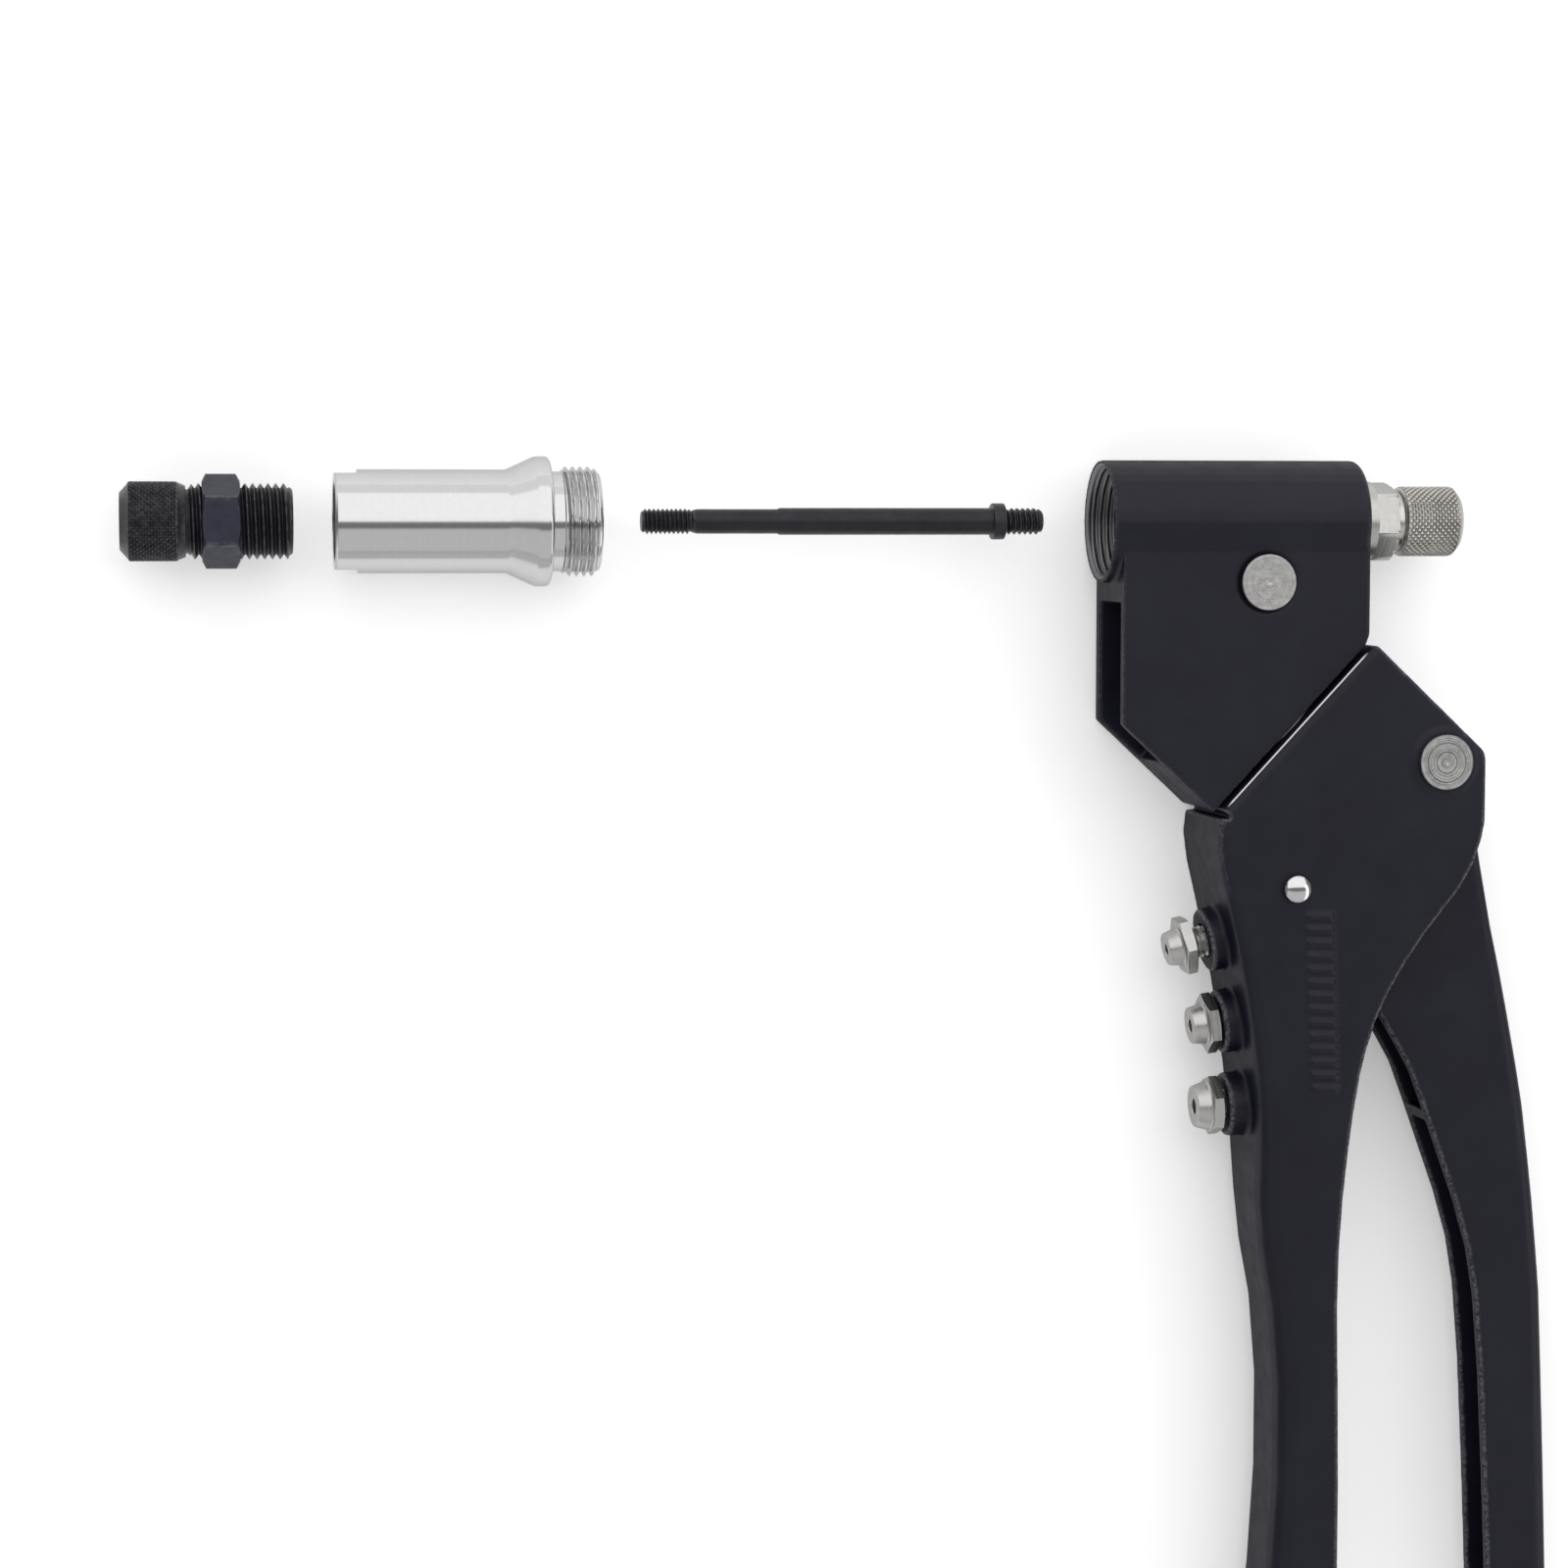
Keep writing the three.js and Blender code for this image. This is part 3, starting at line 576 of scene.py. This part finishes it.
def rounded_off(obj, rounds, faces, crisp=None):
    """Smooths the edges into small fillets, less so inside the crisp box, and thins the mesh."""
    group = obj.vertex_groups.new(name="smoothing")
    for vertex in obj.data.vertices:
        inside = crisp and inside_box(vertex.co, crisp)
        group.add([vertex.index], 0.25 if inside else 1.0, "REPLACE")
    smooth = obj.modifiers.new("fillet", "SMOOTH")
    smooth.factor = 0.5
    smooth.iterations = rounds
    smooth.vertex_group = group.name
    thin = obj.modifiers.new("thin", "DECIMATE")
    thin.ratio = min(1, faces / (2 * len(obj.data.polygons)))
    apply_modifiers(obj)
    obj.vertex_groups.clear()
    obj.data.shade_smooth()
    mark_edges(obj.data, crisp, evening_rounds=3)
    obj.data.set_sharp_from_angle(angle=math.radians(60))
    return obj


def raise_disc(obj, pivot, radius, face, height):
    """Raises, or sinks, a soft-edged disc round a pivot on the near face."""
    for vertex in obj.data.vertices:
        place = relative(vertex.co)
        if abs(place.z - face) < 0.5:
            edge = (radius + 0.35 - math.hypot(place.x - pivot.x, place.y - pivot.y)) / 0.7
            edge = min(max(edge, 0), 1)
            vertex.co.z += height * edge * edge * (3 - 2 * edge) * MM


def round_swivel_edge(obj, radius):
    """Rounds the near edge of the handle's swivel face to a broad fillet."""
    for vertex in obj.data.vertices:
        place = relative(vertex.co)
        out = (place - Vector((*SWIVEL_CENTRE, 0))).dot(SWIVEL) - (HANDLE_FACE - radius)
        up = place.z - (BODY_HALF - radius)
        reach = math.hypot(out, up)
        if 0 < out < 2 * radius and 0 < up < 2 * radius and reach > radius:
            shift = radius / reach - 1
            vertex.co += (SWIVEL * out + Vector((0, 0, up))) * shift * MM


# ---------------------------------------------------------------- castings
THREAD_RING_END = 13.0
THREAD_RING_RADIUS = 12.0
VOXEL = 0.38
FACES = 150000
RIBS = ((40, 49), (-118.5, -78.5), (13.0, 15))


def barrel_cutter():
    """Room for the barrel's thread ring, a little narrower and longer than the ring itself."""
    front, back = -2, THREAD_RING_END + 0.2
    radius = THREAD_RING_RADIUS - 0.3
    rings = [Ring(front, 0), Ring(front, radius), Ring(back, radius), Ring(back, 0)]
    return turn("barrel_cutter", rings, CAST, at(0, 0), (1, 0, 0), 96, closed=False)


def castings():
    fixed = melted("fixed_handle_casting", "fixed_handle", CAST_FIXED, VOXEL)
    round_swivel_edge(fixed, 1.9)
    raise_disc(fixed, LEVER_PIVOT, 7.0, BODY_HALF, 0.3)
    finish_piece(rounded_off(fixed, 9, FACES, RIBS), "body", "black_cast", "fixed_handle")
    moving = melted("moving_handle_casting", "moving_handle", CAST_MOVING, VOXEL)
    finish_piece(rounded_off(moving, 8, FACES), "lever", "black_cast", "moving_handle")
    head = melted("head_casting", "head_housing", CAST, VOXEL, barrel_cutter())
    raise_disc(head, CRANK_PIVOT, 6.1, CHEEK_HALF, -0.45)
    finish_piece(rounded_off(head, 5, FACES), "head", "black_cast", "head_housing")
    crank = melted("bell_crank_forging", "bell_crank", DARK, 0.3)
    finish_piece(rounded_off(crank, 4, 30000), "crank", "dark_steel", "bell_crank")


castings()


def barrel_thread():
    """The thread in the barrel's mouth, cut in a ring that sits in the head casting."""
    rings = [Ring(0.15, THREAD_RING_RADIUS), Ring(0.15, 11.75), Ring(0.75, 11.2)]
    rings += thread_rings(0.9, 12.8, 10.96, 0.62, in_bore=True)
    rings += [Ring(THREAD_RING_END, 10.96), Ring(THREAD_RING_END, THREAD_RING_RADIUS)]
    obj = turn("barrel_thread", rings, THREADED, at(0, 0), (1, 0, 0), 128, sharp=50)
    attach(obj, "head")


barrel_thread()


# ---------------------------------------------------------------- pins
def pin(name, pivot, half, body, groove, steel):
    """A headed pin whose face carries the rings left by turning."""
    shank, wide = 4, 5.7
    low = -half + 0.3
    head = half + 0.3
    top = head + 1.0
    profile = [(low, 0), (low, shank - 0.5), (low + 0.5, shank), (head, shank), (head, wide),
               (top - 0.12, wide), (top, wide - 0.12)]
    rings = plain(profile, 0.06, 2)
    radius = 5.5
    while radius > 0.5:
        depth = groove * (0.15 + 0.85 * math.sin(radius * 5.3) ** 2)
        rings.append(Ring(top, radius - 0.05))
        rings.append(Ring(top - depth, radius - 0.17))
        radius -= 0.25
    rings.append(Ring(top - 0.06, 0.4))
    rings.append(Ring(top - 0.25, 0.15))
    rings.append(Ring(top - 0.25, 0))
    obj = turn(name + "_turned", rings, steel, at(pivot.x, pivot.y), (0, 0, 1), 96, closed=False, sharp=70)
    finish_piece(obj, body, "dull_steel", name)


pin("crank_pin", CRANK_PIVOT, CHEEK_HALF, "head", 0.02, TURNED)
pin("lever_pin", LEVER_PIVOT, BODY_HALF, "body", 0.08, COARSE)


def dome_rivet():
    head = BODY_HALF + 0.3
    rings = plain([(-12.9, 0), (-12.9, 1.7), (-12.7, 1.9), (head, 1.9), (head, 2.8)], 0.1, 2)
    steps = 14
    for i in range(steps + 1):
        angle = math.pi / 2 * i / steps
        rings.append(Ring(head + 0.3 + 1.3 * math.sin(angle), 2.95 * math.cos(angle)))
    obj = turn("spring_pin_domed", rings, NICKEL, at(SPRING_PIVOT.x, SPRING_PIVOT.y), (0, 0, 1), 64,
               closed=False)
    finish_piece(obj, "body", "nickel", "spring_pin")


dome_rivet()


# ---------------------------------------------------------------- parts on the barrel axis
def on_barrel(name, rings, material, body, slot, node, segments=96, closed=True, sharp=40, spin=0):
    obj = turn(name, rings, material, at(0, 0), (1, 0, 0), segments, closed, sharp, spin)
    finish_piece(obj, body, slot, node)


def sleeve():
    left = -155.54
    flats_end = -151.07
    flat = 9.5

    def flats(x, angle, radius):
        return min(radius, flat / max(abs(math.sin(angle)), 1e-6))

    rings = [Ring(left, 7.9, flats), Ring(left, 9.9, flats), Ring(left + 0.08, 10.1, flats),
             Ring(left + 0.35, 10.3, flats), Ring(flats_end - 0.05, 10.3, flats), Ring(flats_end, 10.3)]
    rings += plain([(flats_end + 0.3, 10.3), (-121.8, 10.3), (-116.1, 12.95), (-113.7, 12.95),
                    (-113.1, 12.4), (-113.1, 9.93), (-110.75, 9.93), (-110.6, 10.3)], 0.35, 4)
    rings += thread_rings(-110.6, -103.7, 10.9, 0.92, runout=0.35)
    rings += plain([(-103.6, 9.95), (-103.2, 9.6), (-103.2, 8.8), (-133, 8.8), (-133.6, 7.8),
                    (left + 0.1, 7.8)], 0.1, 2)
    on_barrel("front_sleeve_turned", rings, NICKEL, "sleeve", "nickel", "front_sleeve", 192, sharp=35)


def nosepiece():
    bore = 3.2
    rings = plain([(-197.0, bore), (-197.16, bore + 0.15), (-197.16, 5.62), (-195.6, 7.35)], 0.1, 2)
    rings += knurl_rings(-195.5, -185.93, 7.82, 0.42, 40, 1.15)
    rings += plain([(-185.9, 7.6), (-184.41, 7.0), (-184.41, 6.3), (-183.9, 6.3)], 0.1, 2)
    rings += thread_rings(-183.8, -164.0, 7.45, 0.92, runout=0.4)
    rings += plain([(-163.9, 6.5), (-163.67, 6.2), (-163.67, bore + 0.2), (-163.9, bore)], 0.1, 2)
    on_barrel("nosepiece_knurled", rings, OXIDE, "nosepiece", "black_oxide", "nosepiece", 240, sharp=50)


def lock_nut():
    left, right = -181.24, -173.88
    bore = 7.6
    rings = [Ring(left + 0.35, bore), Ring(left, bore + 0.4)]
    rings += hex_rings(left, right, 16.1)
    rings += [Ring(right, bore + 0.4), Ring(right - 0.35, bore)]
    on_barrel("lock_nut_hexagon", rings, BLUED, "lock_nut", "black_oxide", "lock_nut", 144, sharp=25)


def mandrel():
    rings = [Ring(-94.57, 0), Ring(-94.57, 1.9)]
    rings += thread_rings(-94.4, -84.4, 2.55, 0.5, pitch=0.9, runout=0.7)
    rings += plain([(-84.3, 2.2), (-83.4, 2.45), (-82.5, 2.48), (-66.94, 2.48), (-66.5, 2.72),
                    (-22.73, 2.72), (-22.73, 3.69), (-20.2, 3.69), (-20.2, 2.3)], 0.25, 4)
    rings += thread_rings(-20.0, -12.4, 2.7, 0.55, pitch=1.14, runout=0.7)
    rings += [Ring(-12.25, 1.9), Ring(-12.18, 0)]
    on_barrel("mandrel_threaded", rings, OXIDE, "mandrel", "black_oxide", "mandrel", 72, False, 45)


def rear_plug():
    across_flats = 14.3
    collar = across_flats / math.sqrt(3)
    cut = hex_rule(across_flats)
    rings = plain([(50.3, 3.1), (50.3, 5.2), (54.6, 5.2), (54.6, collar - 0.15), (54.75, collar),
                   (57.1, collar)], 0.1, 2)
    rings += [Ring(57.12, collar, cut), Ring(61.4, collar, cut), Ring(61.8, collar - 0.45, cut),
              Ring(62.0, collar - 1.0, cut), Ring(62.0, 3.4), Ring(61.7, 3.1)]
    on_barrel("rear_plug_hexagon", rings, BUFFED, "head", "nickel", "rear_plug", 144, sharp=28, spin=13)


def knob():
    rings = plain([(62.5, 3.1), (62.3, 3.3), (62.3, 5.4), (62.5, 5.6), (63.4, 5.6), (63.6, 5.8),
                   (63.6, 6.6), (63.8, 6.85)], 0.08, 2)
    rings += knurl_rings(63.9, 75.0, 7.25, 0.42, 34, 1.25)
    rings += plain([(75.05, 6.95), (76.1, 5.9), (76.1, 3.3), (75.9, 3.1)], 0.15, 3)
    on_barrel("knob_knurled", rings, DULLED, "spindle", "nickel", "knob", 204, sharp=50)


def spindle():
    profile = [(18.5, 0), (18.5, 3), (5.2, 3), (5, 3.2), (5, 6.2), (5.3, 6.5), (10.1, 6.5), (10.1, 4.2),
               (20.2, 4.2), (20.2, 2.8), (72.3, 2.8), (72.5, 2.6), (72.5, 0)]
    on_barrel("spindle_turned", plain(profile), DARK, "spindle", "dark_steel", "spindle", 72, False)


def carriage():
    profile = [(10.4, 4.6), (10.4, 9.6), (19.5, 9.6), (20.3, 8.8), (20.3, 5), (35.7, 5), (35.7, 7.4),
               (39.7, 7.4), (39.7, 3.1), (20.5, 3.1), (20.5, 4.6)]
    rings = plain(profile, 0.25, 3, closed=True)
    on_barrel("pull_carriage_turned", rings, DARK, "carriage", "dark_steel", "pull_carriage", 96)


sleeve()
nosepiece()
lock_nut()
mandrel()
rear_plug()
knob()
spindle()
carriage()


# ---------------------------------------------------------------- swivel joint
def on_swivel(name, profile, body, node, radius=0.2, closed=True):
    rings = plain(profile, radius, 3, closed)
    obj = turn(name, rings, DARK, at(*SWIVEL_CENTRE), SWIVEL, 80, closed)
    finish_piece(obj, body, "dark_steel", node)


ROD_LOW, ROD_HIGH = -25.4, 18.9
on_swivel("swivel_bush_turned", [(-9, 4.4), (-9, 8.6), (-7, 8.6), (-7, 7), (7, 7), (7, 6.2), (8.6, 6.2),
                                 (8.6, 7), (10, 7), (10, 4.4)], "body", "swivel_bush")
on_swivel("swivel_washer_pressed", [(-0.3, 7.3), (-0.3, 10.4), (0.2, 10.4), (0.2, 7.3)], "body",
          "swivel_washer", 0.1)
on_swivel("push_rod_domed", [(ROD_LOW, 0), (ROD_LOW, 3.2), (ROD_LOW + 0.8, 4), (ROD_HIGH - 0.8, 4),
                             (ROD_HIGH, 3.2), (ROD_HIGH, 0)], "push_rod", "push_rod", 0.5, False)


# ---------------------------------------------------------------- upright turned parts on pivots
def upright(name, pivot, profile, material, body, slot, node, radius=0.15, closed=True):
    rings = plain(profile, radius, 3, closed)
    obj = turn(name, rings, material, at(pivot.x, pivot.y), (0, 0, 1), 72, closed)
    finish_piece(obj, body, slot, node)


ROLLER = relative(centre_of("lever_roller"))
upright("lever_roller_turned", ROLLER, [(-4.5, 2.3), (-4.5, 4), (4.5, 4), (4.5, 2.3)], DARK, "roller",
        "dark_steel", "lever_roller", 0.3)
upright("roller_pin_turned", ROLLER, [(-7, 0), (-7, 2), (7, 2), (7, 0)], SPRING, "lever", "spring_steel",
        "roller_pin", 0.3, False)
for side, low in (("near", 7.5), ("far", -9.1)):
    washer = [(low, 4.3), (low, 7), (low + 1.6, 7), (low + 1.6, 4.3)]
    upright(f"lever_washer_{side}_pressed", LEVER_PIVOT, washer, DARK, "body", "dark_steel",
            f"lever_washer_{side}", 0.25)


def circlip():
    """An open retaining ring, swept from a small rounded bar."""
    across = Vector((0, 0, 1))
    side = SWIVEL.cross(across)
    section = softened([(-0.6, 6.5), (0.6, 6.5), (0.6, 9.2), (-0.6, 9.2)], 0.15, 2, closed=True)
    verts = []
    steps = 60
    open_angle = 0.35
    for i in range(steps + 1):
        angle = open_angle + (TAU - 2 * open_angle) * i / steps
        outward = -across * math.cos(angle) + side * math.sin(angle)
        for p in section:
            verts.append(at(*SWIVEL_CENTRE) + (SWIVEL * (7.8 + p.x) + outward * p.y) * MM)
    size = len(section)
    faces = [(i * size + j, i * size + (j + 1) % size, (i + 1) * size + (j + 1) % size, (i + 1) * size + j)
             for i in range(steps) for j in range(size)]
    faces.append(tuple(range(size)))
    faces.append(tuple(steps * size + j for j in range(size)))
    obj = object_from("swivel_circlip_ring", verts, faces, SPRING)
    finish_piece(obj, "body", "spring_steel", "swivel_circlip")


circlip()


# ---------------------------------------------------------------- springs
def return_spring():
    start, end = 40.0, 49.7
    mean, thick, turns = 6.4, 0.7, 3.5
    points = []
    steps = 180
    for i in range(steps + 1):
        t = i / steps
        angle = TAU * turns * t
        x = start + thick + (end - start - 2 * thick) * t
        points.append(at(x, mean * math.cos(angle), mean * math.sin(angle)))
    obj = wire("return_spring_wire", points, thick, SPRING)
    finish_piece(obj, "head", "spring_steel", "return_spring")
    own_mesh(obj)


def opening_spring():
    """Coil round the dome rivet, running from its foot by the body to its tip at the lever."""
    coil, thick, top, drop = 4.1, 0.8, 6.0, 10.5
    start_turn = math.radians(48)
    end_turn = math.radians(185.6 + 3 * 360)

    def on_coil(angle, height):
        across = Vector((math.cos(angle), math.sin(angle), 0)) * coil
        return Vector((SPRING_PIVOT.x, SPRING_PIVOT.y, height)) + across

    tip = Vector((53, -82.5, top))
    foot = Vector((36.4, -94, top - drop))
    tip_steps, coil_steps, foot_steps = 20, 150, 18
    points = [tip.lerp(on_coil(start_turn, top), i / tip_steps) for i in range(tip_steps)]
    for i in range(coil_steps + 1):
        part = i / coil_steps
        points.append(on_coil(start_turn + (end_turn - start_turn) * part, top - drop * part))
    last = points[-1].copy()
    points += [last.lerp(foot, i / foot_steps) for i in range(1, foot_steps + 1)]
    obj = wire("opening_spring_wire", [at(*p) for p in points], thick, SPRING)
    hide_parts("opening_spring")
    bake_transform(obj)


return_spring()
opening_spring()


# ---------------------------------------------------------------- spare noses in the side bosses
def spare_nose(name, body, end, tilt, stand_off, spin, cone, tip, bore):
    """A rivet nose: threaded shank, hexagon, cone and through hole; spin turns its hexagon."""
    hex_long, cone_long, shank_long = 2.3, 2.9, 7.2
    across_flats = 11
    angle = math.pi + math.radians(tilt)
    direction = Vector((math.cos(angle), math.sin(angle), 0))
    hex_end = stand_off + hex_long
    cone_end = hex_end + cone_long
    inner = stand_off - shank_long
    place = at(*end) - direction * cone_end * MM
    rings = [Ring(inner + 0.2, bore), Ring(inner, bore + 0.2), Ring(inner, 2.7)]
    rings += thread_rings(inner + 0.2, stand_off - 0.35, 3.3, 0.45, pitch=1.0, runout=0.5)
    rings += [Ring(stand_off - 0.3, 2.9), Ring(stand_off, 2.95)]
    rings += hex_rings(stand_off, hex_end, across_flats, chamfer=0.28)
    rings += plain([(hex_end, cone + 0.5), (hex_end + 0.02, cone + 0.25), (hex_end + 0.3, cone),
                    (cone_end, tip), (cone_end, bore + 0.15), (cone_end - 0.25, bore)], 0.14, 3)
    obj = turn(name + "_turned", rings, BUFFED, place, direction, 96, sharp=28, spin=spin)
    finish_piece(obj, body, "nickel", name)


spare_nose("rivet_nose_large", "nose_large", (14.79, -88.49), 12, 2.8, 26, 4.0, 3.35, 1.2)
spare_nose("rivet_nose_medium", "nose_medium", (20.02, -104.53), 7, 0.5, 2, 4.3, 3.75, 1.4)
spare_nose("rivet_nose_small", "nose_small", (20.97, -121.5), 3, 0.9, -9, 5.1, 4.3, 1.6)


# ---------------------------------------------------------------- studio
def studio():
    floor_mesh = bpy.data.meshes.new("floor")
    size = 3.0
    floor_mesh.from_pydata([(-size, -size, 0), (size, -size, 0), (size, size, 0), (-size, size, 0)], [],
                           [(0, 1, 2, 3)])
    floor = bpy.data.objects.new("floor", floor_mesh)
    floor.location.z = -0.0003
    floor_mesh.materials.append(floor_white())
    bpy.context.scene.collection.objects.link(floor)


def softbox(name, direction, distance, width, height, brightness):
    """A rectangular light facing the middle of the scene; its long side runs along X."""
    data = bpy.data.lights.new(name, "AREA")
    data.shape = "RECTANGLE"
    data.size = width
    data.size_y = height
    data.energy = math.pi * width * height * brightness
    light = bpy.data.objects.new(name, data)
    backward = Vector(direction).normalized()
    right = (Vector((1, 0, 0)) - backward * backward.x).normalized()
    matrix = Matrix((right, backward.cross(right), backward)).transposed().to_4x4()
    matrix.translation = at(-60, -60) + backward * distance
    light.matrix_world = matrix
    bpy.context.scene.collection.objects.link(light)


# each long softbox over the tool: tilt from overhead towards +Y and spread in degrees, length, brightness
SOFTBOXES = [
    ("upper_softbox", 34, 64, 2.4, 1.3),
    ("upper_side_softbox", 79, 26, 2.4, 0.9),
    ("lower_softbox", -41, 56, 2.4, 0.55),
    ("lower_side_softbox", -83, 26, 2.4, 0.45),
]


def lights():
    world = bpy.data.worlds.new("studio")
    world.use_nodes = True
    background = world.node_tree.nodes["Background"]
    background.inputs["Color"].default_value = (1, 1, 1, 1)
    background.inputs["Strength"].default_value = 0.24
    bpy.context.scene.world = world
    for name, tilt, spread, width, brightness in SOFTBOXES:
        angle = math.radians(tilt)
        height = 2 * math.tan(math.radians(spread / 2))
        softbox(name, (0, math.sin(angle), math.cos(angle)), 1.0, width, height, brightness)
    softbox("right_softbox", (0.80, -0.28, 0.46), 1.2, 0.35, 1.3, 1.8)


def camera():
    data = bpy.data.cameras.new("camera")
    data.sensor_width = 36
    data.lens = 80.74
    data.clip_start = 0.01
    cam = bpy.data.objects.new("camera", data)
    place = at(-187, 0, 700)
    target = at(-65.54, -53.06, 0)
    ahead = (target - place).normalized()
    right = ahead.cross(Vector((0, 1, 0))).normalized()
    up = right.cross(ahead)
    matrix = Matrix((right, up, -ahead)).transposed().to_4x4()
    matrix.translation = place
    cam.matrix_world = matrix
    bpy.context.scene.collection.objects.link(cam)
    bpy.context.scene.camera = cam


studio()
lights()
camera()
bpy.context.scene.view_settings.view_transform = "Standard"
